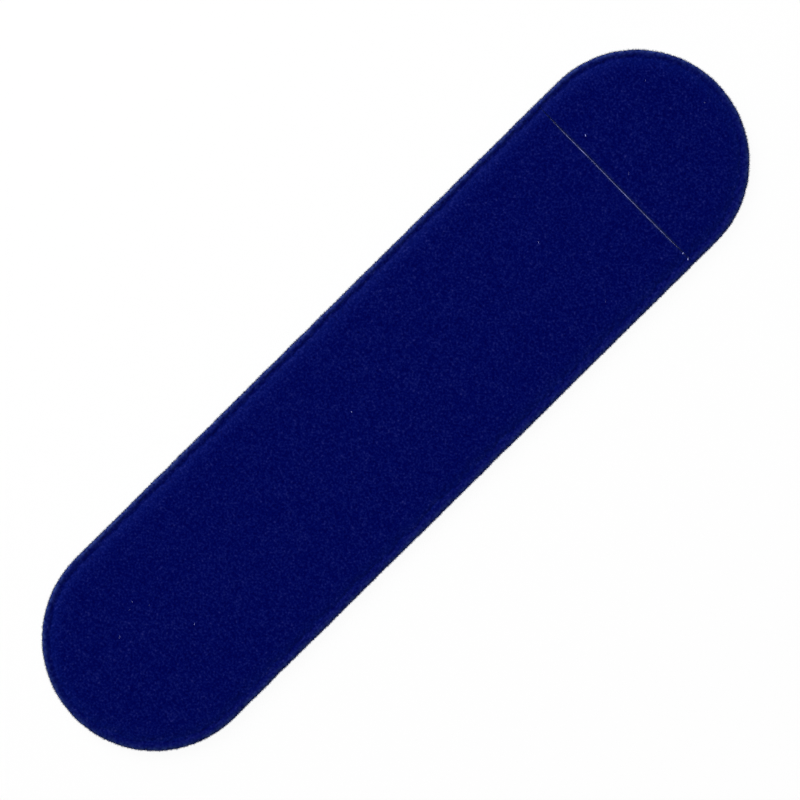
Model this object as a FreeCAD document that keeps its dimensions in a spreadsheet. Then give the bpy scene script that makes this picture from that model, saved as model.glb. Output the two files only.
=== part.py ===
import FreeCAD, Part
import enum
import math
import os
import Sketcher

# A flat pen sleeve of flocked film: a full back, a long front pocket and a short front hood,
# welded together round the edge. Lengths are in millimetres. The back lies on z = 0, the front
# faces +Z, +Y runs along the sleeve to the hood, and the origin is under the middle of the sleeve.
# Each front sheet is in two solids, the welded rim and the panel inside it that is free to bow,
# and the back is in two where it folds, at the slit.

# Driving sizes: name, value and what it measures
SIZES = (
    ("sleeve_length", 161.0, "overall length along Y"),
    ("sleeve_width", 40.0, "overall width along X, also the diameter of the round ends"),
    ("hood_side", 5.3, "straight side of the hood, from the slit to the round end"),
    ("film_thickness", 0.25, "pale carrier film of each sheet"),
    ("flock_height", 0.65, "blue pile on the outer face of each film"),
    ("pocket_gap", 0.3, "room between the front and back films, filled by the weld at the edge"),
    ("slit_gap", 0.15, "width of the slit between the pocket's lip and the hood's lip"),
    ("lip_reveal", 0.3, "bare film left in front of the pile at the pocket's lip"),
    ("weld_inset", 1.3, "from the outer edge to the middle of the pressed groove"),
    ("groove_width", 0.5, "flat floor of the pressed groove"),
    ("groove_wall", 0.3, "run of the groove's steep wall on the rim's side"),
    ("front_groove_depth", 0.42, "depth of the groove pressed into the front"),
    ("back_groove_depth", 0.2, "depth of the mark that the weld leaves on the back"),
    ("shoulder_width", 2.4, "run of the rounded shoulder from the groove up to the flat field"),
    ("rim_drop", 0.1, "how far the rim's top lies below the field"),
    ("edge_round", 0.3, "rounding of the front pile at the outer edge"),
    ("lip_round", 0.25, "rounding of the pile at the lips of the slit"),
    ("panel_clearance", 0.1, "hairline between a front panel and the welded rim round it"),
    ("overrun", 1.0, "how far a cutting outline passes the lip that it opens"),
)

# Places across the sleeve, from its middle line outwards
HALF_WIDTH = "(sizes.sleeve_width / 2)"
GROOVE_MIDDLE = f"({HALF_WIDTH} - sizes.weld_inset)"
GROOVE_OUTSIDE = f"({GROOVE_MIDDLE} + sizes.groove_width / 2)"
GROOVE_INSIDE = f"({GROOVE_MIDDLE} - sizes.groove_width / 2)"
PANEL_EDGE = f"({GROOVE_INSIDE} - sizes.panel_clearance)"

# Places along the sleeve: the centres of the round ends, and lengths of side up to each lip
CLOSED_END = "-(sizes.sleeve_length - sizes.sleeve_width) / 2"
HOOD_END = "(sizes.sleeve_length - sizes.sleeve_width) / 2"
POCKET_SIDE = "(sizes.sleeve_length - sizes.sleeve_width - sizes.hood_side)"
HOOD_SIDE = "sizes.hood_side"
POCKET_LIP = f"({POCKET_SIDE} - sizes.slit_gap / 2)"
HOOD_LIP = f"({HOOD_SIDE} - sizes.slit_gap / 2)"
POCKET_PILE_LIP = f"({POCKET_LIP} - sizes.lip_reveal)"

# Heights of the layers, from the back up, and heights within a pile
BACK_FILM_FOOT = "sizes.flock_height"
WELD_FOOT = f"{BACK_FILM_FOOT} + sizes.film_thickness"
FRONT_FILM_FOOT = f"{WELD_FOOT} + sizes.pocket_gap"
FRONT_FLOCK_FOOT = f"{FRONT_FILM_FOOT} + sizes.film_thickness"
PILE_TOP = "sizes.flock_height"
RIM_TOP = "(sizes.flock_height - sizes.rim_drop)"
FRONT_FLOOR = "(sizes.flock_height - sizes.front_groove_depth)"
BACK_FLOOR = "(sizes.flock_height - sizes.back_groove_depth)"

# Every layer is drawn with its round end about its own origin and its straight sides along +Y.
# These set it down: the half turn, if any, and where the centre of its round end goes.
POCKET_SEAT = (FreeCAD.Rotation(), CLOSED_END)
HOOD_SEAT = (FreeCAD.Rotation(FreeCAD.Vector(0, 0, 1), 180), HOOD_END)
BACK_SEAT = (FreeCAD.Rotation(FreeCAD.Vector(0, 1, 0), 180), CLOSED_END)
HEAD_SEAT = (FreeCAD.Rotation(FreeCAD.Vector(1, 0, 0), 180), HOOD_END)

# How close two coordinates lie when they count as the same place
SAME_PLACE = 1e-6

document = FreeCAD.newDocument("pen_sleeve")
sheet = document.addObject("Spreadsheet::Sheet", "sizes")


class Point(enum.IntEnum):
    """The numbers of an edge's points in a sketch."""

    START = 1
    END = 2
    CENTRE = 3


class Fixed(enum.IntEnum):
    """The numbers of a sketch's own origin and axes."""

    ORIGIN = -1
    LEVEL_AXIS = -1
    UPRIGHT_AXIS = -2


def fill_sheet():
    for row, (name, value, meaning) in enumerate(SIZES, start=1):
        sheet.set(f"A{row}", name)
        sheet.set(f"B{row}", str(value))
        sheet.set(f"C{row}", meaning)
        sheet.setAlias(f"B{row}", name)
    document.recompute()


def worth(expression):
    """The number that an expression in the driving sizes comes to; an empty one is zero."""
    return float(sheet.evalExpression(expression)) if expression else 0


def new_body(label, seat, height):
    rotation, end_centre = seat
    body = document.addObject("PartDesign::Body", label)
    body.Label = label
    body.Placement = FreeCAD.Placement(FreeCAD.Vector(), rotation)
    body.setExpression("Placement.Base.y", end_centre)
    body.setExpression("Placement.Base.z", height)
    return body


def new_sketch(body, name, role):
    sketch = body.newObject("Sketcher::SketchObject", name)
    plane = next(item for item in body.Origin.OriginFeatures if item.Role == role)
    sketch.AttachmentSupport = [(plane, "")]
    sketch.MapMode = "FlatFace"
    return sketch


def tie(sketch, kind, *where):
    sketch.addConstraint(Sketcher.Constraint(kind, *where))


def bind(sketch, kind, *where, to):
    """Adds a dimension to a sketch and ties it to an expression."""
    number = sketch.addConstraint(Sketcher.Constraint(kind, *where, worth(to)))
    sketch.setExpression(f"Constraints[{number}]", to)


def pin(sketch, edge, x, y):
    """Ties the start of an edge to its place; an empty expression puts it on the axis."""
    if x:
        bind(sketch, "DistanceX", Fixed.ORIGIN, Point.START, edge, Point.START, to=x)
    else:
        tie(sketch, "PointOnObject", edge, Point.START, Fixed.UPRIGHT_AXIS)
    if y:
        bind(sketch, "DistanceY", Fixed.ORIGIN, Point.START, edge, Point.START, to=y)
    else:
        tie(sketch, "PointOnObject", edge, Point.START, Fixed.LEVEL_AXIS)


def draw_outline(body, name, half_width, side):
    """The cut outline of a layer: a half circle, two straight sides and a straight lip."""
    sketch = new_sketch(body, name, "XY_Plane")
    x = worth(half_width)
    y = worth(side)
    corners = [FreeCAD.Vector(*place) for place in ((x, 0), (x, y), (-x, y), (-x, 0))]
    right, lip, left = (
        sketch.addGeometry(Part.LineSegment(a, b)) for a, b in zip(corners, corners[1:])
    )
    circle = Part.Circle(FreeCAD.Vector(), FreeCAD.Vector(0, 0, 1), x)
    end = sketch.addGeometry(Part.ArcOfCircle(circle, math.pi, 2 * math.pi))
    for edge, follower in ((right, lip), (lip, left), (left, end), (end, right)):
        tie(sketch, "Coincident", edge, Point.END, follower, Point.START)
    tie(sketch, "Coincident", end, Point.CENTRE, Fixed.ORIGIN, Point.START)
    tie(sketch, "PointOnObject", end, Point.START, Fixed.LEVEL_AXIS)
    tie(sketch, "PointOnObject", end, Point.END, Fixed.LEVEL_AXIS)
    tie(sketch, "Vertical", right)
    tie(sketch, "Vertical", left)
    tie(sketch, "Horizontal", lip)
    bind(sketch, "Radius", end, to=half_width)
    bind(sketch, "DistanceY", Fixed.ORIGIN, Point.START, lip, Point.START, to=side)
    return sketch


def draw_section(body, name, corners, arcs):
    """Half of a pile's cross-section. Arcs are given by the corner they start from."""
    sketch = new_sketch(body, name, "XZ_Plane")
    points = [FreeCAD.Vector(worth(x), worth(y)) for x, y in corners]
    for number, point in enumerate(points):
        following = points[(number + 1) % len(points)]
        if number in arcs:
            radius, centre_x, centre_y = (worth(text) for text in arcs[number])
            centre = FreeCAD.Vector(centre_x, centre_y)
            circle = Part.Circle(centre, FreeCAD.Vector(0, 0, 1), radius)
            angles = [math.atan2(p.y - centre.y, p.x - centre.x) for p in (point, following)]
            sketch.addGeometry(Part.ArcOfCircle(circle, *angles))
        else:
            sketch.addGeometry(Part.LineSegment(point, following))
    for edge, corner in enumerate(corners):
        tie(sketch, "Coincident", edge, Point.END, (edge + 1) % len(corners), Point.START)
        pin(sketch, edge, *corner)
        if edge in arcs:
            bind(sketch, "Radius", edge, to=arcs[edge][0])
    return sketch


def shoulder(start, depth):
    """The rounded rise from the groove to the field: the field's edge, and the arc's radius and centre."""
    field_edge = f"({start} - sizes.shoulder_width)"
    radius = f"((sizes.shoulder_width ^ 2 + {depth} ^ 2) / (2 * {depth}))"
    return field_edge, (radius, field_edge, f"{PILE_TOP} - {radius}")


def back_section(body, name):
    """The whole pile of the back: a square-cut rim, the shallow mark of the weld and the field."""
    field_edge, arc = shoulder(GROOVE_INSIDE, "sizes.back_groove_depth")
    corners = [
        ("", ""),
        (HALF_WIDTH, ""),
        (HALF_WIDTH, RIM_TOP),
        (f"{GROOVE_OUTSIDE} + sizes.groove_wall", RIM_TOP),
        (GROOVE_OUTSIDE, BACK_FLOOR),
        (GROOVE_INSIDE, BACK_FLOOR),
        (field_edge, PILE_TOP),
        ("", PILE_TOP),
    ]
    return draw_section(body, name, corners, {5: arc})


def rim_section(body, name):
    """The pile of a welded front rim: a rounded rim and the floor of the groove."""
    round_foot = f"({RIM_TOP} - sizes.edge_round)"
    round_top = f"({HALF_WIDTH} - sizes.edge_round)"
    corners = [
        (GROOVE_INSIDE, ""),
        (HALF_WIDTH, ""),
        (HALF_WIDTH, round_foot),
        (round_top, RIM_TOP),
        (f"{GROOVE_OUTSIDE} + sizes.groove_wall", RIM_TOP),
        (GROOVE_OUTSIDE, FRONT_FLOOR),
        (GROOVE_INSIDE, FRONT_FLOOR),
    ]
    return draw_section(body, name, corners, {2: ("sizes.edge_round", round_top, round_foot)})


def panel_section(body, name):
    """The pile of a front panel: the shoulder that rises from the groove, and the flat field."""
    field_edge, arc = shoulder(PANEL_EDGE, "sizes.front_groove_depth")
    corners = [
        ("", ""),
        (PANEL_EDGE, ""),
        (PANEL_EDGE, FRONT_FLOOR),
        (field_edge, PILE_TOP),
        ("", PILE_TOP),
    ]
    return draw_section(body, name, corners, {2: arc})


def pad_outline(body, name, half_width, side, thickness):
    pad = body.newObject("PartDesign::Pad", name)
    pad.Profile = draw_outline(body, f"{name}_outline", half_width, side)
    pad.setExpression("Length", thickness)


def add_film(label, seat, height, half_width, side):
    """A whole piece of film, up to its lip."""
    body = new_body(label, seat, height)
    pad_outline(body, f"{label}_sheet", half_width, side, "sizes.film_thickness")
    return body


def add_band(label, seat, height, side, thickness):
    """A band round the edge, as wide as the weld, open at the lip."""
    body = new_body(label, seat, height)
    pad_outline(body, f"{label}_whole", HALF_WIDTH, side, thickness)
    room = body.newObject("PartDesign::Pocket", f"{label}_room")
    room.Profile = draw_outline(body, f"{label}_room_outline", GROOVE_INSIDE, f"{side} + sizes.overrun")
    room.Type = "ThroughAll"
    room.Midplane = True
    return body


def add_pile(label, seat, height, side, draw_its_section):
    """A pile: its half section turned round the end, then run up both sides to the lip."""
    body = new_body(label, seat, height)
    section = draw_its_section(body, f"{label}_section")
    end = body.newObject("PartDesign::Revolution", f"{label}_end")
    end.Profile = section
    end.ReferenceAxis = (section, ["V_Axis"])
    end.Angle = 180
    end.Reversed = True
    run = body.newObject("PartDesign::Pad", f"{label}_run")
    run.Profile = section
    run.Reversed = True
    run.setExpression("Length", side)
    other_run = body.newObject("PartDesign::Mirrored", f"{label}_other_run")
    other_run.Originals = [run]
    other_run.MirrorPlane = (section, ["V_Axis"])
    body.Tip = other_run
    return body


def round_lip(body, side):
    """Rounds the top edge of a panel's pile along its lip, from shoulder to shoulder."""
    document.recompute()
    pile = body.Tip
    lip = worth(side)
    top = worth(PILE_TOP)
    edges = [
        f"Edge{number}"
        for number, edge in enumerate(pile.Shape.Edges, start=1)
        if all(abs(v.Y - lip) < SAME_PLACE and abs(v.Z - top) < SAME_PLACE for v in edge.Vertexes)
    ]
    fillet = body.newObject("PartDesign::Fillet", f"{body.Label}_lip")
    fillet.Base = (pile, edges)
    fillet.setExpression("Radius", "sizes.lip_round")
    body.Tip = fillet
    return body


def build_back():
    return [
        add_pile("back_flock", BACK_SEAT, BACK_FILM_FOOT, POCKET_SIDE, back_section),
        add_film("back_film", POCKET_SEAT, BACK_FILM_FOOT, HALF_WIDTH, POCKET_SIDE),
        add_pile("head_flock", HEAD_SEAT, BACK_FILM_FOOT, HOOD_SIDE, back_section),
        add_film("head_film", HOOD_SEAT, BACK_FILM_FOOT, HALF_WIDTH, HOOD_SIDE),
    ]


def build_front(name, seat, film_lip, pile_lip):
    """A weld, the front rim that it holds, and the panel inside that rim."""
    panel_pile = add_pile(f"{name}_panel_flock", seat, FRONT_FLOCK_FOOT, pile_lip, panel_section)
    return [
        add_band(f"{name}_weld", seat, WELD_FOOT, film_lip, "sizes.pocket_gap"),
        add_band(f"{name}_rim_film", seat, FRONT_FILM_FOOT, film_lip, "sizes.film_thickness"),
        add_pile(f"{name}_rim_flock", seat, FRONT_FLOCK_FOOT, pile_lip, rim_section),
        add_film(f"{name}_panel_film", seat, FRONT_FILM_FOOT, PANEL_EDGE, film_lip),
        round_lip(panel_pile, pile_lip),
    ]


def check(bodies):
    failed = [item.Name for item in document.Objects if {"Invalid", "Error"} & set(item.State)]
    if failed:
        raise RuntimeError(f"these objects failed: {failed}")
    for body in bodies:
        if body.Shape.isNull() or not body.Shape.isValid() or len(body.Shape.Solids) != 1:
            raise RuntimeError(f"{body.Label} is not one sound solid")


def export(bodies):
    os.makedirs("parts", exist_ok=True)
    for body in bodies:
        body.Shape.exportStep(f"parts/{body.Label}.step")
        print(f"{body.Label}: {body.Shape.Volume:.1f} cubic millimetres")


fill_sheet()
sub_parts = (
    build_back()
    + build_front("pocket", POCKET_SEAT, POCKET_LIP, POCKET_PILE_LIP)
    + build_front("hood", HOOD_SEAT, HOOD_LIP, HOOD_LIP)
)
document.recompute()
check(sub_parts)
export(sub_parts)
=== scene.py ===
import math
from dataclasses import dataclass

import bmesh
import bpy
import numpy as np
from mathutils import Matrix, Vector, noise


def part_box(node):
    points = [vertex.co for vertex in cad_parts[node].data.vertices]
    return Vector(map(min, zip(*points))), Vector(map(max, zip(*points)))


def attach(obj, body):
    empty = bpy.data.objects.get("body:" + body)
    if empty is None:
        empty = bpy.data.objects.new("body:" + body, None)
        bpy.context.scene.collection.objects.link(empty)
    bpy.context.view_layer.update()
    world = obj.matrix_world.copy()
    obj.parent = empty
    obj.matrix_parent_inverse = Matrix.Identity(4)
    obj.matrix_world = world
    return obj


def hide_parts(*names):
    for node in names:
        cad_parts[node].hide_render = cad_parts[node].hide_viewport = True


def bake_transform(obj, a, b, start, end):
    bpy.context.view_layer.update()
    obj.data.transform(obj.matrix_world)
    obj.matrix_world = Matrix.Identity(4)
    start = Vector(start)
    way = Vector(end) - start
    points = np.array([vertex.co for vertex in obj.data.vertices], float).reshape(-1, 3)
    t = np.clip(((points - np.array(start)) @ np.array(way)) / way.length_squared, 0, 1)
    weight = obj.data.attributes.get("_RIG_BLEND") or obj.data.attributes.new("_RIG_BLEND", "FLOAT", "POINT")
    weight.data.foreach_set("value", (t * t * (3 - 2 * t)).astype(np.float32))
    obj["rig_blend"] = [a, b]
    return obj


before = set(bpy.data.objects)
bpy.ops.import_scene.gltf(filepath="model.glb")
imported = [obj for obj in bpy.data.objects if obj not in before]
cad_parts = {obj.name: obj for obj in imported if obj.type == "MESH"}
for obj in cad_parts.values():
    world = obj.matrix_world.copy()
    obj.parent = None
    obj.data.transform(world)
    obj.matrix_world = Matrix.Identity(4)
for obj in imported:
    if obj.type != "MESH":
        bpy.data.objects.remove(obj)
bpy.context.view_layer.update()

MM = 0.001

# Edges and levels that come from the solids
HALF_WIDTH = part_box("back_film")[1].x
CLOSED_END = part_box("back_film")[0].y
HOOD_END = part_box("head_film")[1].y
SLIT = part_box("back_film")[1].y
POCKET_FILM_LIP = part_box("pocket_panel_film")[1].y
POCKET_PILE_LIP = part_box("pocket_panel_flock")[1].y
HOOD_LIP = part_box("hood_panel_film")[0].y
BACK_FILM_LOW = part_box("back_film")[0].z
BACK_FILM_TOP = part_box("back_film")[1].z
FRONT_FILM_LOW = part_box("pocket_panel_film")[0].z
FRONT_FILM_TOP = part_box("pocket_panel_film")[1].z
FIELD_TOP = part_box("pocket_panel_flock")[1].z
RIM_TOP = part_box("pocket_rim_flock")[1].z
POCKET_CENTRE = CLOSED_END + HALF_WIDTH
HOOD_CENTRE = HOOD_END - HALF_WIDTH

# The welded edge, as distances in from the outline, and the slope at which the painted sheen on leaning
# fibres is at its most
FILM_INSET = 0.14 * MM
RIM_ROUND = 0.55 * MM
RIM_INNER = 0.6 * MM
RIM_SINK = 0.07 * MM
GROOVE_OUTER = 1.36 * MM
GROOVE_INNER = 1.48 * MM
WELD_DRIFT = 0.12 * MM
WELD_OUTER = 1.3 * FILM_INSET
WELD_INNER = 1.55 * MM
RIM_RINGS_END = 2.0 * MM
SHOULDER_INNER = 5 * MM
SHOULDER_POWER = 3.4
STEEP = 0.6
SLOPE_GAP = 0.02 * MM
FRONT_GROOVE_DEPTH = 0.38 * MM
BACK_GROOVE_DEPTH = 0.2 * MM
PILE_OVERHANG = 0.1 * MM

# The lips of the slit, and how the pile closes over the pocket's film towards the welds
LIP_ROUND = 0.5 * MM
LIP_DRIFT = 0.09 * MM
LIP_CURL = 0.1 * MM
LIP_CURL_REACH = 2.5 * MM
POCKET_FILM_TRIM = 0.065 * MM
POCKET_PILE_LEAN = 0.09 * MM
HOOD_FILM_LEAN = 0.105 * MM
HOOD_PILE_LEAN = 0.16 * MM
LIP_SHUT = 0.16 * MM
LIP_SHUT_FROM = 11.5 * MM
LIP_SHUT_TO = 20.2 * MM
LIP_SHUT_REACH = 0.3 * MM
WELDED_ROUND_SHARE = 0.12

# How the sheets depart from a perfect form: size, length and reach of each wave
EDGE_SPREAD = 0.05 * MM
EDGE_WAVE = (0.07 * MM, 3.5 * MM, 1.5 * MM)
EDGE_FRAY = (0.04 * MM, 0.5 * MM, 0.2 * MM)
LIP_SWAY = (0.06 * MM, 8 * MM, 0.8 * MM)
LIP_FRAY = (0.06 * MM, 0.8 * MM, 0.3 * MM)
GROOVE_WANDERS = ((0.4 * MM, 1.8 * MM), (0.34 * MM, 0.6 * MM))
# Reach of the paler loose fibres, partly painted edge sheen, in from the outline and the lip, and their
# share at the open lip
FUZZ_REACH = 0.3 * MM
LIP_FUZZ_REACH = 0.1 * MM
LIP_FUZZ_SHARE = 0.5
PILE_RELIEF = (0.025 * MM, 0.6 * MM)
PILE_SWELL = (0.05 * MM, 9 * MM)

# Spacing of the meshes
FINE_STEP = 0.36 * MM
RIM_STEP = 0.13 * MM
SHOULDER_STEP = 0.24 * MM
COARSE_STEP = 1.5 * MM
FOLD_HALF_WIDTH = 0.9 * MM
FOLD_STEP = 0.1 * MM
LIP_ROWS_REACH = 2 * MM
LIP_ROWS_GROWTH = 1.5
LIP_ROWS_MOST = 12
SAME_POINT = 0.0005 * MM
SHARP_EDGE = math.radians(50)

# Loose fibres: their sizes, how many stand along a length, and how far they turn aside, rise and lean
HAIR_WIDTH = 0.04 * MM
HAIR_LENGTHS = (0.15 * MM, 0.5 * MM)
HAIR_BEND = 0.05 * MM
HAIR_SINK = 2 * HAIR_WIDTH
HAIR_RING_SHARES = ((0, 1), (0.55, 0.8))
EDGE_HAIRS_PER_MM = 42
EDGE_HAIR_SIDE_SHARE = 0.6
EDGE_HAIR_RISE_SHARES = (0.5, 0.5)
FRONT_HAIR_RISE = 1
BACK_HAIR_RISE = -0.3
BACK_HAIR_LOWEST = HAIR_WIDTH / 3
LIP_HAIRS_PER_MM = 14
LIP_HAIR_SINK = 3 * HAIR_WIDTH
LIP_HAIR_SIDE_SHARE = 0.5
LIP_HAIR_RISE_SHARES = (0, 0.8)
LIP_HAIR_ROOT_SHARES = (0.1, 0.6)
POCKET_HAIR_LEAN = 1
HOOD_HAIR_LEAN = 0.1

# Fibre tufts that stand all over the front piles, coloured lighter than the pile as painted light on their
# shaded sides
TUFTS_PER_SQUARE_MM = 8.5
TUFT_WIDTH = 0.07 * MM
TUFT_LENGTHS = (0.12 * MM, 0.28 * MM)
TUFT_SINK = 0.03 * MM
TUFT_LEAN_SHARE = 0.6
TUFT_RING_SHARES = ((0, 1),)
# The tufts' colour is lifted by this factor, painted light that offsets the shade on their sides
TUFT_SHADE_LIFT_GAIN = 1.7

# A map of the hairs for baking colours through, and where a hair's foot lies in its cell of the map
BAKE_MAP = "OFBake"
CELL_CORNER_SHARES = ((0.06, 0.06), (0.88, 0.06), (0.06, 0.88))

# The photo: straight down, the sleeve's length at this angle to the picture's right
AXIS_ANGLE = math.radians(44.64)
SLEEVE_MM = 161
SLEEVE_PIXELS = 903
PIXEL = SLEEVE_MM / SLEEVE_PIXELS * MM
FRAME_PIXELS = 800
SLEEVE_PIXEL = (395.27, 399.78)
PICTURE_RIGHT = Vector((math.sin(AXIS_ANGLE), math.cos(AXIS_ANGLE), 0))
PICTURE_UP = Vector((-math.cos(AXIS_ANGLE), math.sin(AXIS_ANGLE), 0))

# Specks of lint in the photo: how they turn and bend, then pixel across, pixel down, length and width
LINT_TURN_SHARE = 0.3
LINT_BEND_SHARE = 0.2
LINT_PIXELS = (
    (585, 135, 0.32 * MM, 0.16 * MM),
    (538, 242, 0.28 * MM, 0.055 * MM),
    (645, 80, 0.3 * MM, 0.04 * MM),
    (628, 173, 0.6 * MM, 0.028 * MM),
    (704, 102, 0.28 * MM, 0.045 * MM),
    (605, 301, 0.4 * MM, 0.022 * MM),
    (119, 636, 0.7 * MM, 0.028 * MM),
    (194, 623, 0.5 * MM, 0.055 * MM),
    (149, 604, 0.25 * MM, 0.018 * MM),
    (132, 601, 0.35 * MM, 0.055 * MM),
    (129, 609, 0.35 * MM, 0.025 * MM),
    (351, 411, 0.32 * MM, 0.17 * MM),
    (682.3, 252.6, 0.32 * MM, 0.19 * MM),
    (687.4, 258.3, 0.42 * MM, 0.28 * MM),
)

# Looks of the flock: its grains' sizes and weights, the colours along them with painted glints, painted
# sheen on slopes and paler loose fibres with painted edge sheen
FLOCK_GRAINS = ((0.4 * MM, 0.74), (1.0 * MM, 0.16), (3 * MM, 0.1))
# Colours along the grain: random tones of fibre ends, the whiter top stops painted glints
FLOCK_GRAIN_AND_GLINT_COLOURS = (
    (0.36, (0.0000, 0.0004, 0.071)),
    (0.50, (0.0000, 0.0021, 0.095)),
    (0.63, (0.0042, 0.0075, 0.122)),
    (0.74, (0.0200, 0.0230, 0.168)),
)
GRAIN_SPAN = (0.35, 0.65)
# Painted sheen: where the pile slopes the colour is lifted by this factor and tinted towards this paler blue
SHOULDER_SHEEN_GAIN = 1.3
SHOULDER_SHEEN_TINT_SHARE = 0.1
SHOULDER_SHEEN_COLOUR = (0.012, 0.042, 0.165)
FUZZ_GRAIN = 0.55 * MM
FUZZ_SHARES = (0.2, 1.8)
# Paler blue of loose fibres near the edges, partly painted edge sheen
FUZZ_AND_EDGE_SHEEN_COLOUR = (0.027, 0.049, 0.2)
MOTTLE_GRAIN = 0.35 * MM
MOTTLE_SHARES = (-0.7, 0.7)
TIP_GRAIN = 0.16 * MM
TIP_DEPTH = 0.05 * MM
CLUMP_DEPTH = 0.12 * MM
BUMP_STRENGTH = 0.5
HAIR_GRAIN = 0.3 * MM
# Paler blue of single fibres, painted in place of light through them and their sheen
HAIR_SHEEN_COLOURS = ((0.35, (0.006, 0.013, 0.1)), (0.65, (0.03, 0.045, 0.21)))
FLOCK_FINISH = {
    "Roughness": 1,
    "Specular_IOR_Level": 0,
    "Coat_Weight": 0.024,
    "Coat_Roughness": 0.42,
    "Sheen_Weight": 0.12,
    "Sheen_Roughness": 0.3,
    "Sheen_Tint": (0.16, 0.3, 1, 1),
}

# Looks of the lint, the film and the weld
LINT_GRAIN = 0.4 * MM
LINT_COLOURS = ((0.35, (0.28, 0.32, 0.78)), (0.65, (0.44, 0.48, 0.95)))
LINT_ROUGHNESS = 0.9
FILM_COLOUR = (0.36, 0.375, 0.86)
WELD_COLOUR = (0.2, 0.21, 0.36)
FILM_GRAIN = 0.6 * MM
FILM_GRAIN_SPAN = (0.3, 0.7)
FILM_DARK_SHARE = 0.9
FILM_CLOUD = 4 * MM
FILM_CLOUD_SHARES = (0.88, 1.1)
FILM_GLOSS_GRAIN = 1.2 * MM
FILM_ROUGHNESS = (0.32, 0.5)
FILM_SPECULAR = 0.4
FILM_MARK_GRAIN = 0.5 * MM
FILM_MARK_STRENGTH = 0.4
FILM_MARK_DEPTH = 0.02 * MM
WELD_MARK_DEPTH = 0.05 * MM

# The stage: how far the floor shades, the even surround and the key light, in metres and watts
FLOOR_SHADE_SHARE = 0.05
SURROUND_STRENGTH = 0.4
KEY_PLACE = (-0.6, 0.05, 0.47)
KEY_SIZE = 0.5
KEY_POWER = 5.6

# Seeds of the random draws and of the smooth noise
RANDOM_SEED = 7
EDGE_SEED = 1
LIP_SWAY_SEED = 3
GROOVE_SEED = 4
BACK_SEED = 20
POCKET_SEED = 30
HOOD_SEED = 40
SEED_SHIFT = Vector((13.7, 5.3, 9.1))

random = np.random.default_rng(RANDOM_SEED)


@dataclass
class Face:
    """Levels of a pile's foot on its film, its rim and its field, and how deep the weld presses it."""

    foot: float
    rim_top: float
    field_top: float
    groove_depth: float

    def height(self, inset):
        """Height at a distance in from the outline: rim, groove and the shoulder up to the field."""
        floor = self.field_top - self.groove_depth
        into_groove = ease((inset - RIM_INNER) / (GROOVE_OUTER - RIM_INNER))
        rounding = np.clip(1 - inset / RIM_ROUND, 0, 1)
        edge_drop = RIM_ROUND * (1 - np.sqrt(1 - rounding ** 2))
        rim = self.rim_top - edge_drop + (floor - self.rim_top) * into_groove
        rise = np.clip((inset - GROOVE_INNER) / (SHOULDER_INNER - GROOVE_INNER), 0, 1)
        shoulder = self.field_top - self.groove_depth * (1 - rise) ** SHOULDER_POWER
        return np.where(inset < GROOVE_INNER, rim, shoulder)

    def lean(self, inset):
        """How far the fibres lean over on the shoulder, from 0 on the flat to 1 on a steep slope; the
        material paints sheen by it.
        """
        change = self.height(inset + SLOPE_GAP) - self.height(np.maximum(inset - SLOPE_GAP, 0))
        leaning = np.clip(np.abs(change) / (2 * SLOPE_GAP * STEEP), 0, 1)
        return np.where(inset > GROOVE_INNER, leaning, 0)

    def share(self, height):
        """How far up the pile a height lies, from 0 at the film to 1 at the field."""
        return np.clip((height - self.foot) / (self.field_top - self.foot), 0, 1)


@dataclass
class Front:
    """What sets a front sheet apart: its place, where its lips lie and how its pile meets the slit."""

    name: str
    fixed: str
    place: Matrix
    pile_side: float
    film_side: float
    shut_by: float
    hair_lean: float
    seed: int


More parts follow.
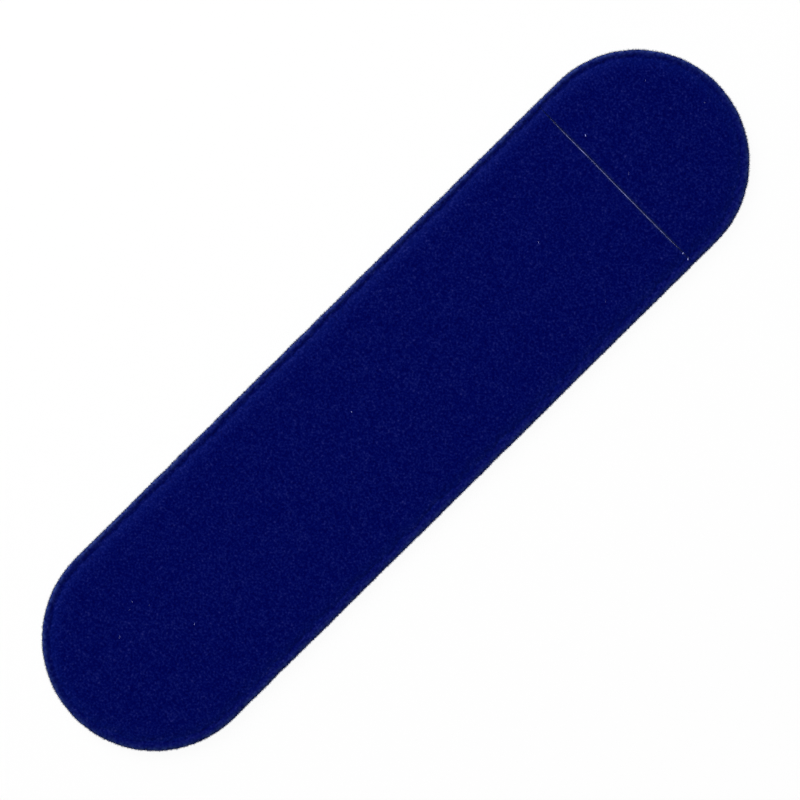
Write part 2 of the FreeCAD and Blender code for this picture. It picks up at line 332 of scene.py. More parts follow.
class Outline:
    """A sheet's outline in its own frame: a round end about the origin and sides along +Y from it."""

    def __init__(self, rows, place, second_end=False):
        self.rows = np.asarray(rows)
        self.side = self.rows[-1]
        self.place = np.array(place)
        self.second_end = second_end

    def put(self, points):
        """Points of the sheet's own frame in the sleeve's frame."""
        return points @ self.place[:3, :3].T + self.place[:3, 3]

    def take(self, points):
        """Points of the sleeve's frame in the sheet's own frame."""
        return (points - self.place[:3, 3]) @ self.place[:3, :3]

    def ring(self, inset, step):
        """Points of the outline moved in by inset, with a key along the outline for each."""
        radius = max(HALF_WIDTH - inset, 0)
        count = max(round(math.pi * radius / step), 1)
        turns = np.linspace(0, math.pi, count + 1)[1:-1]
        rows = len(self.rows)
        side = np.full(rows, radius)
        arc_keys = rows - 1 + rows * turns / math.pi
        runs = [
            (-side, self.rows[::-1], np.arange(rows)),
            (-radius * np.cos(turns), -radius * np.sin(turns), arc_keys),
            (side, self.rows, np.arange(rows) + 2 * rows - 1),
        ]
        if self.second_end:
            far = self.side + radius * np.sin(turns)
            runs.append((radius * np.cos(turns), far, arc_keys + 2 * rows - 1))
        x, y, keys = (np.concatenate(run) for run in zip(*runs))
        return np.column_stack((x, y)), keys

    def past_end(self, y):
        """How far a place along the sheet lies past the centre of a round end, with its sign."""
        past = np.minimum(y, 0)
        return past + np.maximum(y - self.side, 0) if self.second_end else past

    def inset(self, points):
        """Distance of points in from the outline."""
        return HALF_WIDTH - np.hypot(points[:, 0], self.past_end(points[:, 1]))

    def weld_inset(self, points):
        """Distance in from the weld's own outline, which lies a little to one side of the sheet's."""
        aside = self.outward(points)[:, 0] * self.place[0, 0]
        return self.inset(points) - WELD_DRIFT * aside * ease(self.inset(points) / GROOVE_OUTER)

    def outward(self, points):
        """Unit directions from points straight out to the outline."""
        across = np.column_stack((points[:, 0], self.past_end(points[:, 1]), np.zeros(len(points))))
        length = np.linalg.norm(across, axis=1, keepdims=True)
        return across / np.maximum(length, SAME_POINT)

    def bow(self, points):
        """How far points follow the bowed panel: not at all at the weld, wholly at the middle line."""
        share = (self.inset(points) - WELD_INNER) / (HALF_WIDTH - WELD_INNER)
        return np.sin(np.clip(share, 0, 1) * math.pi / 2)

    def fall_off(self, points, reach):
        """A share that is 1 at the lip and dies away back from it."""
        return np.exp((points[:, 1] - self.side) / reach)

    def shut(self, points):
        """How far the slit is shut at each point: open in the middle, shut towards the welds."""
        return ease((np.abs(points[:, 0]) - LIP_SHUT_FROM) / (LIP_SHUT_TO - LIP_SHUT_FROM))


FRONT_FACE = Face(FRONT_FILM_TOP, RIM_TOP - RIM_SINK, FIELD_TOP, FRONT_GROOVE_DEPTH)
BACK_FACE = Face(0, BACK_FILM_LOW, BACK_FILM_LOW, BACK_GROOVE_DEPTH)


def ease(share):
    """Smooth step from 0 to 1."""
    share = np.clip(share, 0, 1)
    return share * share * (3 - 2 * share)


def spaced(start, end, step):
    """Places from start to end, about a step apart."""
    return np.linspace(start, end, max(round(abs(end - start) / step), 1) + 1)


def lip_rows(length, step, first):
    """Row places from 0 to length, a step apart and closing up towards the lip."""
    near = length - first * (LIP_ROWS_GROWTH ** np.arange(LIP_ROWS_MOST) - 1)
    near = near[near > length - LIP_ROWS_REACH]
    return np.concatenate((spaced(0, near[-1], step)[:-1], near[::-1]))


def fold_rows(length, place, step):
    """Row places from 0 to length, a step apart and close together at the fold."""
    low = place - FOLD_HALF_WIDTH
    high = place + FOLD_HALF_WIDTH
    before = spaced(0, low, step)[:-1]
    after = spaced(high, length, step)[1:]
    return np.concatenate((before, spaced(low, high, FOLD_STEP), after))


def face_insets():
    """Insets of a pile face's rings, from the middle line out to the outline."""
    field = spaced(HALF_WIDTH, SHOULDER_INNER, FINE_STEP)
    shoulder = spaced(SHOULDER_INNER, RIM_RINGS_END, SHOULDER_STEP)
    rim = spaced(RIM_RINGS_END, RIM_ROUND, RIM_STEP)
    rounding_shares = np.array((0.75, 0.5, 0.3, 0.15, 0.05, 0))
    return np.concatenate((field[:-1], shoulder[:-1], rim, RIM_ROUND * rounding_shares))


def plain_insets():
    """Insets of a flat face's rings, from the film's edge in to the middle line."""
    return np.concatenate(((FILM_INSET, WELD_INNER / 2), spaced(WELD_INNER, HALF_WIDTH, COARSE_STEP)))


def pile_profile(face):
    """Rings of a pile: its face, its outer edge, the overhang past the film and its hidden side."""
    top = [(inset, float(face.height(inset))) for inset in face_insets()]
    under = face.foot - PILE_OVERHANG
    edge = [(0, face.foot), (FILM_INSET / 4, under), (FILM_INSET, under)]
    return top + edge + [(inset, face.foot) for inset in plain_insets()]


def film_profile(low, top):
    """Rings of a film: its top, its cut edge and its underside."""
    insets = plain_insets()
    return [(inset, top) for inset in insets[::-1]] + [(inset, low) for inset in insets]


def weld_profile():
    """Rings of the fused band between the films, closed on itself."""
    insets = (WELD_OUTER, WELD_INNER / 2, WELD_INNER)
    upper = [(inset, FRONT_FILM_LOW) for inset in insets[::-1]]
    lower = [(inset, BACK_FILM_TOP) for inset in insets]
    return upper + lower + upper[:1]


def zip_rings(first, first_keys, second, second_keys):
    """Triangles between two rows of points whose keys rise along them."""
    faces = []
    i = j = 0
    while i + 1 < len(first) or j + 1 < len(second):
        done = j + 1 == len(second)
        if done or (i + 1 < len(first) and first_keys[i + 1] <= second_keys[j + 1]):
            faces.append((first[i], first[i + 1], second[j]))
            i += 1
        else:
            faces.append((first[i], second[j + 1], second[j]))
            j += 1
    return faces


def numbered_ring(start, keys, wraps):
    """A ring's point numbers and keys, with its first point again at the end where the ring closes."""
    numbers = list(range(start, start + len(keys)))
    if not wraps:
        return numbers, keys
    return numbers + numbers[:1], np.append(keys, keys[-1] + 1)


def sheet_mesh(name, outline, profile, step):
    """A closed shell whose rings follow the outline at each inset and height of the profile."""
    points = []
    faces = []
    before = None
    for inset, height in profile:
        ring, keys = outline.ring(inset, step)
        row = numbered_ring(len(points), keys, outline.second_end)
        points += [(x, y, height) for x, y in ring]
        if before:
            faces += zip_rings(*before, *row)
        before = row
    mesh = bpy.data.meshes.new(name)
    mesh.from_pydata(points, [], faces)
    close_shell(mesh)
    return mesh


def close_shell(mesh):
    """Joins the halves at the middle line, fills the lip's cut face and turns all faces outward."""
    shell = bmesh.new()
    shell.from_mesh(mesh)
    bmesh.ops.remove_doubles(shell, verts=shell.verts, dist=SAME_POINT)
    cut = [edge for edge in shell.edges if edge.is_boundary]
    if cut:
        bmesh.ops.triangle_fill(shell, use_beauty=True, edges=cut)
    bmesh.ops.recalc_face_normals(shell, faces=shell.faces)
    shell.to_mesh(mesh)
    shell.free()


def points_of(mesh):
    """The mesh's points as an array of rows."""
    flat = np.empty(3 * len(mesh.vertices), np.float32)
    mesh.vertices.foreach_get("co", flat)
    return flat.reshape(-1, 3).astype(float)


def set_points(mesh, points):
    """Writes an array of rows back as the mesh's points."""
    mesh.vertices.foreach_set("co", np.asarray(points, np.float32).ravel())
    mesh.update()


def set_values(mesh, name, values):
    """Keeps a value at each of the mesh's points under a name."""
    layer = mesh.attributes.get(name) or mesh.attributes.new(name, "FLOAT", "POINT")
    layer.data.foreach_set("value", np.asarray(values, np.float32))


def wander(points, length, seed):
    """Smooth noise from about -1 to 1 that changes over the given length."""
    shift = SEED_SHIFT * seed
    return np.array([noise.noise(Vector(point) + shift) for point in points / length])


def wave_edge(outline, points):
    """Spreads points near the outline and moves them in and out a little, alike in every layer."""
    flat = outline.put(points) * (1, 1, 0)
    inset = np.maximum(outline.inset(points), 0)
    amount = EDGE_SPREAD * np.exp(-inset / EDGE_FRAY[2])
    for seed, (size, length, reach) in enumerate((EDGE_WAVE, EDGE_FRAY), start=EDGE_SEED):
        amount += size * wander(flat, length, seed) * np.exp(-inset / reach)
    return points + outline.outward(points) * amount[:, None]


def sway_lip(outline, points):
    """Moves points near the lip a little along the sleeve, alike on both sides of the slit."""
    size, length, reach = LIP_SWAY
    moved = points.copy()
    across = outline.put(points) * (1, 0, 0)
    sway = size * wander(across, length, LIP_SWAY_SEED) * outline.fall_off(points, reach)
    moved[:, 1] += outline.place[1, 1] * sway
    return moved


def fray_lip(outline, points, seed, shut_by):
    """Frays a pile's lip and draws it over the slit near the welds."""
    size, length, reach = LIP_FRAY
    moved = points.copy()
    moved[:, 1] += size * wander(points * (1, 0, 0), length, seed) * outline.fall_off(points, reach)
    moved[:, 1] += shut_by * outline.shut(points) * outline.fall_off(points, LIP_SHUT_REACH)
    return moved


def wander_groove(outline, points, face):
    """How far each point of a pile's face moves up or down where the weld's mark wanders in and out."""
    inset = outline.inset(points)
    strayed = outline.weld_inset(points)
    for seed, (size, length) in enumerate(GROOVE_WANDERS, start=GROOVE_SEED):
        strayed += size * wander(outline.put(points) * (1, 1, 0), length, seed)
    change = face.height(np.maximum(strayed, RIM_ROUND)) - face.height(inset)
    return np.where((inset > RIM_ROUND) & (face.share(points[:, 2]) > 0), change, 0)


def curl_lip(outline, points):
    """How far a free lip stands up between its welds."""
    return LIP_CURL * outline.fall_off(points, LIP_CURL_REACH) * outline.bow(points)


def round_lip(outline, points):
    """How far a pile drops where its lip is rounded."""
    radius = LIP_ROUND * (1 - (1 - WELDED_ROUND_SHARE) * outline.shut(points))
    near = np.clip(1 - (outline.side - points[:, 1]) / radius, 0, 1)
    return radius * (1 - np.sqrt(1 - near ** 2))


def relief(points, seed):
    """Height of the pile's clumps and slow swells at each point."""
    waves = (PILE_RELIEF, PILE_SWELL)
    return sum(size * wander(points, length, seed + n) for n, (size, length) in enumerate(waves))


def pile_lift(outline, points, seed):
    """How far a front pile moves up or down: its clumps, the weld's stray mark and the lip's form."""
    form = relief(outline.put(points), seed) - round_lip(outline, points)
    lift = form * FRONT_FACE.share(points[:, 2]) + wander_groove(outline, points, FRONT_FACE)
    return lift + curl_lip(outline, points)


def new_piece(name, mesh, material):
    """A shown object with one material."""
    piece = bpy.data.objects.new(name, mesh)
    bpy.context.collection.objects.link(piece)
    mesh.materials.append(material)
    mesh.shade_smooth()
    mesh.set_sharp_from_angle(angle=SHARP_EDGE)
    return piece


def bow_with(piece, fixed, moving, shares):
    """The piece keeps to its weld on the fixed body and rises with the panel by each point's share."""
    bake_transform(piece, fixed, moving, start=(0, 0, BACK_FILM_TOP), end=(0, 0, FIELD_TOP))
    set_values(piece.data, "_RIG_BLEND", shares)


def fold_with_back(piece):
    """The piece bends with the back sheet where the head folds at the slit."""
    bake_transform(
        piece,
        "back",
        "head",
        start=(0, SLIT - FOLD_HALF_WIDTH, 0),
        end=(0, SLIT + FOLD_HALF_WIDTH, 0),
    )


def mark_pile_sheen_and_loose_fibres(mesh, outline, points, face):
    """Keeps for the material how far the pile's fibres lean, which it paints as sheen, and how loose they
    stand, which it paints paler, partly as edge sheen.
    """
    inset = np.maximum(outline.inset(points), 0)
    fuzz_and_edge_sheen = np.exp(-inset / FUZZ_REACH)
    if not outline.second_end:
        open_share = LIP_FUZZ_SHARE * (1 - outline.shut(points))
        fuzz_and_edge_sheen = np.maximum(fuzz_and_edge_sheen, outline.fall_off(points, LIP_FUZZ_REACH) * open_share)
    set_values(mesh, "lean", face.lean(outline.weld_inset(points)))
    set_values(mesh, "fuzz_and_edge_sheen", fuzz_and_edge_sheen)


def front_pile(name, outline, material, seed, shut_by):
    """A front sheet's pile with its rounded lip, and its points' bow shares."""
    mesh = sheet_mesh(name, outline, pile_profile(FRONT_FACE), FINE_STEP)
    points = points_of(mesh)
    shares = outline.bow(points)
    mark_pile_sheen_and_loose_fibres(mesh, outline, points, FRONT_FACE)
    points[:, 2] += pile_lift(outline, points, seed)
    points = fray_lip(outline, sway_lip(outline, wave_edge(outline, points)), seed, shut_by)
    set_points(mesh, outline.put(points))
    return new_piece(name, mesh, material), shares


def front_film(name, outline, material):
    """A front sheet's film, and its points' bow shares."""
    mesh = sheet_mesh(name, outline, film_profile(FRONT_FILM_LOW, FRONT_FILM_TOP), COARSE_STEP)
    points = points_of(mesh)
    shares = outline.bow(points)
    points[:, 2] += curl_lip(outline, points)
    set_points(mesh, outline.put(sway_lip(outline, wave_edge(outline, points))))
    return new_piece(name, mesh, material), shares


def weld_band(name, outline, material):
    """The fused band under a front sheet's rim."""
    mesh = sheet_mesh(name, outline, weld_profile(), COARSE_STEP)
    set_points(mesh, outline.put(wave_edge(outline, points_of(mesh))))
    return new_piece(name, mesh, material)


def back_pile(name, outline, material):
    """The back sheet's pile, face down on the floor."""
    mesh = sheet_mesh(name, outline, pile_profile(BACK_FACE), FINE_STEP)
    points = points_of(mesh)
    mark_pile_sheen_and_loose_fibres(mesh, outline, points, BACK_FACE)
    dents = np.abs(relief(outline.put(points), BACK_SEED)) * BACK_FACE.share(points[:, 2])
    points[:, 2] = BACK_FILM_LOW - points[:, 2] + dents
    mesh.flip_normals()
    set_points(mesh, outline.put(wave_edge(outline, points)))
    return new_piece(name, mesh, material)


def back_film(name, outline, material):
    """The back sheet's film."""
    mesh = sheet_mesh(name, outline, film_profile(BACK_FILM_LOW, BACK_FILM_TOP), COARSE_STEP)
    set_points(mesh, outline.put(wave_edge(outline, points_of(mesh))))
    return new_piece(name, mesh, material)


def unit(vectors):
    """Vectors at length 1."""
    return vectors / np.linalg.norm(vectors, axis=1, keepdims=True)


def hair_corners(roots, directions, lengths, widths, bends, ring_shares=HAIR_RING_SHARES):
    """Corners of thin tapered hairs, each with three-sided rings, bent sideways and ending in a point."""
    side = unit(np.cross(directions, random.normal(size=directions.shape)))
    other = np.cross(directions, side)
    corners = []
    for along_share, width_share in ring_shares:
        middle = roots + directions * (lengths * along_share)[:, None] + bends * along_share ** 2
        for turn in np.arange(3) * 2 * math.pi / 3:
            spoke = math.cos(turn) * side + math.sin(turn) * other
            corners.append(middle + spoke * (widths * width_share / 2)[:, None])
    corners.append(roots + directions * lengths[:, None] + bends)
    return np.stack(corners, axis=1).reshape(-1, 3)


def hair_faces(rings):
    """Faces of one closed hair with the given number of three-sided rings below its tip."""
    tip = 3 * rings
    faces = [(2, 1, 0)]
    for corner in range(tip):
        beside = corner + 1 if corner % 3 < 2 else corner - 2
        if corner + 3 < tip:
            faces += [(corner, beside, beside + 3), (corner, beside + 3, corner + 3)]
        else:
            faces.append((corner, beside, tip))
    return np.array(faces)


def hair_cell(rings):
    """One hair's faces in a cell of the map: the sides fan out round the tip, the foot lies beside."""
    corners = np.array(CELL_CORNER_SHARES)
    tip = corners.mean(axis=0)
    ring_places = [tip + (corners - tip) * (1 - ring / rings) for ring in range(rings)]
    places = np.vstack((*ring_places, tip))[hair_faces(rings)]
    places[0] = 1 - places[0]
    return places


def lay_hair_map(mesh, rings, count):
    """Gives each hair a cell of its own on a map for baking colours through."""
    columns = math.ceil(math.sqrt(count))
    numbers = np.arange(count)
    cells = np.column_stack((numbers % columns, numbers // columns))
    places = (cells[:, None, None] + hair_cell(rings)) / columns
    layer = mesh.uv_layers.new(name=BAKE_MAP)
    layer.uv.foreach_set("vector", places.astype(np.float32).ravel())


def hair_mesh(name, corners, ring_shares=HAIR_RING_SHARES):
    """A mesh of closed hairs from their corners."""
    rings = len(ring_shares)
    firsts = np.arange(0, len(corners), 3 * rings + 1)
    faces = firsts[:, None, None] + hair_faces(rings)
    mesh = bpy.data.meshes.new(name)
    mesh.from_pydata(corners.tolist(), [], faces.reshape(-1, 3).tolist())
    lay_hair_map(mesh, rings, len(firsts))
    return mesh


def loose_hairs(roots, directions):
    """Corners of loose flock fibres of mixed lengths at the given roots."""
    count = len(roots)
    lengths = random.uniform(*HAIR_LENGTHS, count)
    bends = random.normal(0, HAIR_BEND, (count, 3))
    return hair_corners(roots, unit(directions), lengths, np.full(count, HAIR_WIDTH), bends)


def edge_hairs(outline, low, high, upward):
    """Corners of hairs that stand out of a pile's outer edge all round, in the sheet's own frame."""
    ring, _ = outline.ring(HAIR_WIDTH, FOLD_STEP)
    places = np.concatenate(([0], np.cumsum(np.linalg.norm(np.diff(ring, axis=0), axis=1))))
    count = round(places[-1] / MM * EDGE_HAIRS_PER_MM)
    chosen = random.uniform(0, places[-1], count)
    x = np.interp(chosen, places, ring[:, 0])
    y = np.interp(chosen, places, ring[:, 1])
    roots = np.column_stack((x, y, random.uniform(low, high, count)))
    out = outline.outward(roots)
    along = np.cross(out, (0, 0, 1))
    directions = out + along * random.normal(0, EDGE_HAIR_SIDE_SHARE, (count, 1))
    directions[:, 2] = upward * np.abs(random.normal(*EDGE_HAIR_RISE_SHARES, count))
    return loose_hairs(wave_edge(outline, roots) - out * HAIR_SINK, directions)


def lip_hairs(outline, lean):
    """Corners of hairs that lean out over a front pile's lip or stand along it, in its own frame."""
    reach = HALF_WIDTH - RIM_ROUND
    count = round(2 * reach / MM * LIP_HAIRS_PER_MM)
    x = random.uniform(-reach, reach, count)
    y = np.full(count, outline.side - LIP_HAIR_SINK)
    height_shares = random.uniform(*LIP_HAIR_ROOT_SHARES, count)
    roots = np.column_stack((x, y, FRONT_FILM_TOP + height_shares * LIP_ROUND))
    roots[:, 2] += curl_lip(outline, roots)
    roots = sway_lip(outline, roots)
    aside = random.normal(0, LIP_HAIR_SIDE_SHARE, count)
    upward = random.uniform(*LIP_HAIR_RISE_SHARES, count)
    directions = np.column_stack((aside, np.full(count, lean), upward))
    return loose_hairs(roots, directions)


def front_fringe(name, outline, material, hair_lean):
    """Loose hairs round a front pile's edge and along its lip, and their points' bow shares."""
    low = FRONT_FILM_TOP - PILE_OVERHANG / 2
    high = FRONT_FACE.rim_top - RIM_ROUND / 2
    round_edge = edge_hairs(outline, low, high, FRONT_HAIR_RISE)
    corners = np.concatenate((round_edge, lip_hairs(outline, hair_lean)))
    piece = new_piece(name, hair_mesh(name, outline.put(corners)), material)
    return piece, outline.bow(corners)


def back_fringe(name, outline, material):
    """Loose hairs round the back pile's edge."""
    low = BACK_FILM_LOW / 4
    high = BACK_FILM_LOW + PILE_OVERHANG / 2
    corners = edge_hairs(outline, low, high, BACK_HAIR_RISE)
    corners[:, 2] = np.maximum(corners[:, 2], BACK_HAIR_LOWEST)
    return new_piece(name, hair_mesh(name, outline.put(corners)), material)


def tuft_roots(outline, seed):
    """Random places all over a front pile's face, just under its surface."""
    count = round(2 * HALF_WIDTH * (outline.side + HALF_WIDTH) / MM ** 2 * TUFTS_PER_SQUARE_MM)
    x = random.uniform(-HALF_WIDTH, HALF_WIDTH, count)
    y = random.uniform(-HALF_WIDTH, outline.side - HAIR_WIDTH, count)
    roots = np.column_stack((x, y, np.zeros(count)))
    roots = roots[outline.inset(roots) > RIM_ROUND]
    roots[:, 2] = FRONT_FACE.height(outline.inset(roots))
    roots[:, 2] += pile_lift(outline, roots, seed) - TUFT_SINK
    return roots


def front_nap(name, outline, material, seed):
    """Tufts of fibre that stand all over a front pile, and their points' bow shares."""
    roots = tuft_roots(outline, seed)
    count = len(roots)
    directions = random.normal(0, TUFT_LEAN_SHARE, (count, 3))
    directions[:, 2] = 1
    lengths = random.uniform(*TUFT_LENGTHS, count)
    widths = np.full(count, TUFT_WIDTH)
    straight = np.zeros((count, 3))
    roots = sway_lip(outline, wave_edge(outline, roots))
    corners = hair_corners(roots, unit(directions), lengths, widths, straight, TUFT_RING_SHARES)
    piece = new_piece(name, hair_mesh(name, outline.put(corners), TUFT_RING_SHARES), material)
    return piece, outline.bow(corners)


def lint_places():
    """Where the photo's lint lies across and along the sleeve, and each thread's length and width."""
    roots = []
    for across, down, *_ in LINT_PIXELS:
        right = PICTURE_RIGHT * (across - SLEEVE_PIXEL[0]) * PIXEL
        up = PICTURE_UP * (SLEEVE_PIXEL[1] - down) * PIXEL
        roots.append(right + up)
    return np.array(roots), np.array(LINT_PIXELS)[:, 2:]


def front_lint(name, outline, material, seed, shut_by):
    """Pale threads that lie on a front sheet's pile, and their points' bow shares."""
    roots, sizes = lint_places()
    roots = outline.take(roots)
    chosen = (roots[:, 1] < outline.side + shut_by) & (outline.inset(roots) > 0)
    roots = roots[chosen]
    lengths, widths = sizes[chosen].T
    roots[:, 2] = FRONT_FACE.height(outline.inset(roots))
    roots[:, 2] += pile_lift(outline, roots, seed) + widths / 2
    lay = np.array(PICTURE_UP) @ outline.place[:3, :3]
    directions = unit(lay + random.normal(0, LINT_TURN_SHARE, roots.shape) * (1, 1, 0))
    bends = random.normal(0, LINT_BEND_SHARE, (len(roots), 3)) * lengths[:, None] * (1, 1, 0)
    roots -= directions * lengths[:, None] / 2
    corners = hair_corners(roots, unit(directions), lengths, widths, bends)
    piece = new_piece(name, hair_mesh(name, outline.put(corners)), material)
    return piece, outline.bow(corners)


class Nodes:
    """A material's node tree with short calls to add and join nodes."""

    def __init__(self, name):
        self.material = bpy.data.materials.new(name)
        self.material.use_nodes = True
        self.tree = self.material.node_tree
        self.shader = self.tree.nodes["Principled BSDF"]
        self.place = self.add("ShaderNodeTexCoord").outputs["Object"]

    def add(self, kind, **settings):
        """A new node with the given settings."""
        node = self.tree.nodes.new(kind)
        for key, value in settings.items():
            setattr(node, key, value)
        return node

    def feed(self, node, name, value):
        """Gives a node's input a plain value or another node's output."""
        if isinstance(value, bpy.types.NodeSocket):
            self.tree.links.new(value, node.inputs[name])
        else:
            node.inputs[name].default_value = value

    def finish(self, **inputs):
        """Gives the shader its inputs, each by its name with _ for a space, and returns the material."""
        for name, value in inputs.items():
            self.feed(self.shader, name.replace("_", " "), value)
        return self.material

    def value(self, name):
        """The value that the mesh keeps under a name."""
        return self.add("ShaderNodeAttribute", attribute_name=name).outputs["Fac"]

    def grain(self, length, detail=2.0):
        """Noise from 0 to 1 about the given length in size."""
        node = self.add("ShaderNodeTexNoise")
        self.feed(node, "Vector", self.place)
        self.feed(node, "Scale", 1 / length)
        self.feed(node, "Detail", detail)
        return node.outputs["Fac"]

    def ramp(self, value, *stops):
        """Colours along a value, each stop a place and a colour."""
        node = self.add("ShaderNodeValToRGB")
        elements = node.color_ramp.elements
        while len(elements) < len(stops):
            elements.new(0.5)
        for element, (place, colour) in zip(elements, stops):
            element.position = place
            element.color = (*colour, 1)
        self.feed(node, "Fac", value)
        return node.outputs["Color"]

    def spread(self, value, low, high, start=0.0, end=1.0):
        """A value that runs from start to end, stretched to run from low to high."""
        node = self.add("ShaderNodeMapRange")
        self.feed(node, "Value", value)
        self.feed(node, "From Min", start)
        self.feed(node, "From Max", end)
        self.feed(node, "To Min", low)
        self.feed(node, "To Max", high)
        return node.outputs["Result"]

    def total(self, *parts):
        """A weighted sum of values, each part a value and its weight."""
        added = 0.0
        for value, weight in parts:
            node = self.add("ShaderNodeMath", operation="MULTIPLY_ADD")
            for name, item in enumerate((value, weight, added)):
                self.feed(node, name, item)
            added = node.outputs["Value"]
        return added

    def between(self, share, colour, other):
        """A colour taken by a share towards another."""
        node = self.add("ShaderNodeMixRGB")
        self.feed(node, "Fac", share)
        self.feed(node, "Color1", colour)
        self.feed(node, "Color2", (*other, 1))
        return node.outputs["Color"]

    def scaled(self, colour, value):
        """A colour multiplied by a value."""
        node = self.add("ShaderNodeVectorMath", operation="SCALE")
        self.feed(node, 0, colour)
        self.feed(node, "Scale", value)
        return node.outputs["Vector"]

    def bump(self, value, depth, strength, before=None):
        """A bump of the given depth, laid on one made before."""
        node = self.add("ShaderNodeBump")
        self.feed(node, "Height", value)
        self.feed(node, "Distance", depth)
        self.feed(node, "Strength", strength)
        if before:
            self.feed(node, "Normal", before)
        return node.outputs["Normal"]


def flock_material(name, bumpy, painted_lift_factor=1):
    """Short dense blue pile: a grain of fibre ends whose whitest specks are painted glints, slow changes of
    lay, painted sheen where fibres lean, paler loose fibres near the edges with painted edge sheen.
    """
    made = Nodes(name)
    tips = made.total(*[(made.grain(size), weight) for size, weight in FLOCK_GRAINS])
    # For the tufts the colours are lifted, painted light on their shaded sides
    stops = [(place, [painted_lift_factor * part for part in stop]) for place, stop in FLOCK_GRAIN_AND_GLINT_COLOURS]
    # Grain of fibre ends in random tones, its whitest end painted glints
    colour = made.ramp(tips, *stops)
    # Painted sheen on the sloping shoulders: lifted and paler where fibres lean
    lean = made.value("lean")
    colour = made.scaled(colour, made.spread(lean, 1, SHOULDER_SHEEN_GAIN))
    colour = made.between(made.spread(lean, 0, SHOULDER_SHEEN_TINT_SHARE), colour, SHOULDER_SHEEN_COLOUR)
    # Paler loose fibres near the cut edges and the open lip, partly painted edge sheen
    fuzz_and_edge_sheen = made.value("fuzz_and_edge_sheen")
    loose = made.total((fuzz_and_edge_sheen, made.spread(made.grain(FUZZ_GRAIN), *FUZZ_SHARES, *GRAIN_SPAN)))
    colour = made.between(loose, colour, FUZZ_AND_EDGE_SHEEN_COLOUR)
    mottle = made.total((fuzz_and_edge_sheen, made.spread(made.grain(MOTTLE_GRAIN), *MOTTLE_SHARES, *GRAIN_SPAN)))
    colour = made.scaled(colour, made.spread(mottle, 0, 2, -1, 1))
    if not bumpy:
        return made.finish(Base_Color=colour, **FLOCK_FINISH)
    fine = made.bump(made.grain(TIP_GRAIN), TIP_DEPTH, BUMP_STRENGTH)
    normal = made.bump(tips, CLUMP_DEPTH, BUMP_STRENGTH, fine)
    return made.finish(Base_Color=colour, Normal=normal, Coat_Normal=normal, **FLOCK_FINISH)


def hair_material():
    """Single flock fibres: a paler blue than the pile, painted light shining through thin fibres and their
    sheen, no two alike.
    """
    made = Nodes("flock_hair")
    colour = made.ramp(made.grain(HAIR_GRAIN), *HAIR_SHEEN_COLOURS)
    return made.finish(Base_Color=colour, **FLOCK_FINISH)


def lint_material():
    """Pale dust and threads that cling to the pile."""
    made = Nodes("lint")
    colour = made.ramp(made.grain(LINT_GRAIN), *LINT_COLOURS)
    return made.finish(Base_Color=colour, Roughness=LINT_ROUGHNESS)


def film_material(name, colour, mark_depth):
    """Thin satin plastic film: faint clouds, shallow marks and uneven gloss."""
    made = Nodes(name)
    darker = [FILM_DARK_SHARE * part for part in colour]
    tint = made.ramp(made.grain(FILM_GRAIN), *zip(FILM_GRAIN_SPAN, (darker, colour)))
    tint = made.scaled(tint, made.spread(made.grain(FILM_CLOUD, detail=4.0), *FILM_CLOUD_SHARES))
    gloss = made.spread(made.grain(FILM_GLOSS_GRAIN), *FILM_ROUGHNESS)
    normal = made.bump(made.grain(FILM_MARK_GRAIN, detail=3.0), mark_depth, FILM_MARK_STRENGTH)
    return made.finish(Base_Color=tint, Roughness=gloss, Normal=normal, Specular_IOR_Level=FILM_SPECULAR)


def build_back(flock, hair, film):
    """The back sheet, which folds at the slit."""
    length = HOOD_CENTRE - POCKET_CENTRE
    place = Matrix.Translation((0, POCKET_CENTRE, 0))
    fine = Outline(fold_rows(length, SLIT - POCKET_CENTRE, FINE_STEP), place, second_end=True)
    coarse = Outline(fold_rows(length, SLIT - POCKET_CENTRE, COARSE_STEP), place, second_end=True)
    pile = back_pile("back_pile_sheet", fine, flock)
    sheet = back_film("back_film_sheet", coarse, film)
    fringe = back_fringe("back_fringe", fine, hair)
    for piece in (pile, sheet, fringe):
        fold_with_back(piece)
    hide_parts("back_flock", "head_flock")
    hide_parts("back_film", "head_film")
    return sheet


def front_pieces(front, materials):
    """A front sheet's soft pieces by name, each with its points' bow shares, and its fused band."""
    flock, nap, hair, film, weld, lint = materials
    name = front.name
    fine = Outline(lip_rows(front.pile_side, FINE_STEP, HAIR_WIDTH), front.place)
    coarse = Outline(lip_rows(front.film_side, COARSE_STEP, FOLD_STEP), front.place)
    soft = {
        "pile": front_pile(f"{name}_pile_sheet", fine, flock, front.seed, front.shut_by),
        "sheet": front_film(f"{name}_film_sheet", coarse, film),
        "fringe": front_fringe(f"{name}_fringe", fine, hair, front.hair_lean),
        "lint": front_lint(f"{name}_lint", fine, lint, front.seed, front.shut_by),
        "nap": front_nap(f"{name}_nap", fine, nap, front.seed),
    }
    return soft, weld_band(f"{name}_weld_band", coarse, weld)


def build_front(front, materials):
    """A front sheet with its weld: the pile, its nap, loose hairs and lint, the film and the fused band."""
    name = front.name
    soft, band = front_pieces(front, materials)
    for piece, shares in soft.values():
        bow_with(piece, front.fixed, f"{name}_panel", shares)
    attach(band, front.fixed)
    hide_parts(f"{name}_rim_flock", f"{name}_panel_flock")
    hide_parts(f"{name}_rim_film", f"{name}_panel_film")
    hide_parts(f"{name}_weld")


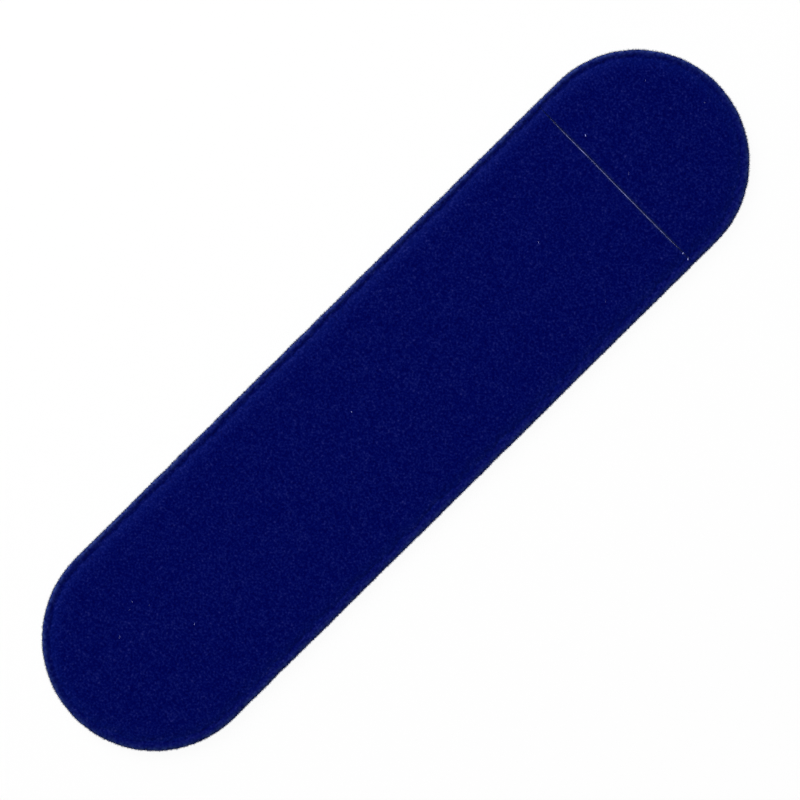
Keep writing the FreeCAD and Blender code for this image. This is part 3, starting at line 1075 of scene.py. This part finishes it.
def pocket_front():
    """The pocket, which runs from the closed end to the slit and whose pile closes over it."""
    pile_lip = POCKET_PILE_LIP + POCKET_PILE_LEAN - LIP_DRIFT
    film_lip = POCKET_FILM_LIP - POCKET_FILM_TRIM - LIP_DRIFT
    return Front(
        name="pocket",
        fixed="back",
        place=Matrix.Translation((0, POCKET_CENTRE, 0)),
        pile_side=pile_lip - POCKET_CENTRE,
        film_side=film_lip - POCKET_CENTRE,
        shut_by=LIP_SHUT,
        hair_lean=POCKET_HAIR_LEAN,
        seed=POCKET_SEED,
    )


def hood_front():
    """The hood, which runs from the slit to the other end and is turned round."""
    pile_lip = HOOD_LIP - HOOD_PILE_LEAN - LIP_DRIFT
    film_lip = HOOD_LIP - HOOD_FILM_LEAN - LIP_DRIFT
    return Front(
        name="hood",
        fixed="head",
        place=Matrix.Translation((0, HOOD_CENTRE, 0)) @ Matrix.Rotation(math.pi, 4, "Z"),
        pile_side=HOOD_CENTRE - pile_lip,
        film_side=HOOD_CENTRE - film_lip,
        shut_by=0,
        hair_lean=HOOD_HAIR_LEAN,
        seed=HOOD_SEED,
    )


def build_sleeve():
    """The back, the pocket and the hood."""
    flock = flock_material("flock", bumpy=True)
    # The tufts take a lighter copy of the flock, painted light on their shaded sides
    nap = flock_material("flock_nap", bumpy=False, painted_lift_factor=TUFT_SHADE_LIFT_GAIN)
    hair = hair_material()
    film = film_material("film", FILM_COLOUR, FILM_MARK_DEPTH)
    weld = film_material("weld", WELD_COLOUR, WELD_MARK_DEPTH)
    materials = (flock, nap, hair, film, weld, lint_material())
    back = build_back(flock, hair, film)
    for front in (pocket_front(), hood_front()):
        build_front(front, materials)


def add_object(name, data):
    """A new object in the scene."""
    made = bpy.data.objects.new(name, data)
    bpy.context.collection.objects.link(made)
    return made


def add_camera(lens=120, sensor=36, nearest=0.01):
    """A long lens straight above, turned so that the sleeve lies as in the photo."""
    data = bpy.data.cameras.new("camera")
    data.lens = lens
    data.sensor_width = sensor
    data.clip_start = nearest
    camera = add_object("camera", data)
    middle = (FRAME_PIXELS - 1) / 2
    right = PICTURE_RIGHT * (middle - SLEEVE_PIXEL[0]) * PIXEL
    up = PICTURE_UP * (SLEEVE_PIXEL[1] - middle) * PIXEL
    distance = Vector((0, 0, RIM_TOP + FRAME_PIXELS * PIXEL * lens / sensor))
    turn = Matrix((PICTURE_RIGHT, PICTURE_UP, (0, 0, 1))).transposed().to_4x4()
    camera.matrix_world = Matrix.Translation(right + up + distance) @ turn
    bpy.context.scene.camera = camera


def add_key(place, size, power):
    """A large soft light that looks at the sleeve."""
    data = bpy.data.lights.new("key", "AREA")
    data.size = size
    data.energy = power
    lamp = add_object("key", data)
    lamp.location = place
    lamp.rotation_euler = Vector(place).to_track_quat("Z", "Y").to_euler()


def add_surround(strength):
    """An even pale surround that the camera and reflections see as white."""
    world = bpy.data.worlds.new("surround")
    bpy.context.scene.world = world
    world.use_nodes = True
    tree = world.node_tree
    ground = tree.nodes["Background"]
    ground.inputs["Color"].default_value = (1, 1, 1, 1)
    rays = tree.nodes.new("ShaderNodeLightPath").outputs
    seen = rays["Is Camera Ray"]
    for kind in ("Is Glossy Ray", "Is Transmission Ray"):
        either = tree.nodes.new("ShaderNodeMath")
        either.operation = "MAXIMUM"
        tree.links.new(seen, either.inputs[0])
        tree.links.new(rays[kind], either.inputs[1])
        seen = either.outputs["Value"]
    level = tree.nodes.new("ShaderNodeMapRange")
    level.inputs["To Min"].default_value = strength
    level.inputs["To Max"].default_value = 1
    tree.links.new(seen, level.inputs["Value"])
    tree.links.new(level.outputs["Result"], ground.inputs["Strength"])


def floor_material(shade_share):
    """White and so clear that the surround shows through and shadows are faint; clear from below."""
    made = Nodes("floor")
    made.finish(Base_Color=(1, 1, 1, 1), Roughness=1, Specular_IOR_Level=0)
    mix = made.add("ShaderNodeMixShader")
    under = made.add("ShaderNodeNewGeometry").outputs["Backfacing"]
    made.feed(mix, "Fac", made.spread(under, shade_share, 0))
    made.feed(mix, 1, made.add("ShaderNodeBsdfTransparent").outputs["BSDF"])
    made.feed(mix, 2, made.shader.outputs["BSDF"])
    made.feed(made.tree.nodes["Material Output"], "Surface", mix.outputs["Shader"])
    return made.material


def add_floor(half_size=1.5):
    """The pale floor that the sleeve lies on."""
    mesh = bpy.data.meshes.new("floor")
    corners = [(x * half_size, y * half_size, 0) for x, y in ((-1, -1), (1, -1), (1, 1), (-1, 1))]
    mesh.from_pydata(corners, [], [(0, 1, 2, 3)])
    mesh.materials.append(floor_material(FLOOR_SHADE_SHARE))
    add_object("floor", mesh)


build_sleeve()
add_camera()
add_surround(SURROUND_STRENGTH)
add_key(KEY_PLACE, KEY_SIZE, KEY_POWER)
add_floor()
bpy.context.scene.view_settings.view_transform = "Standard"
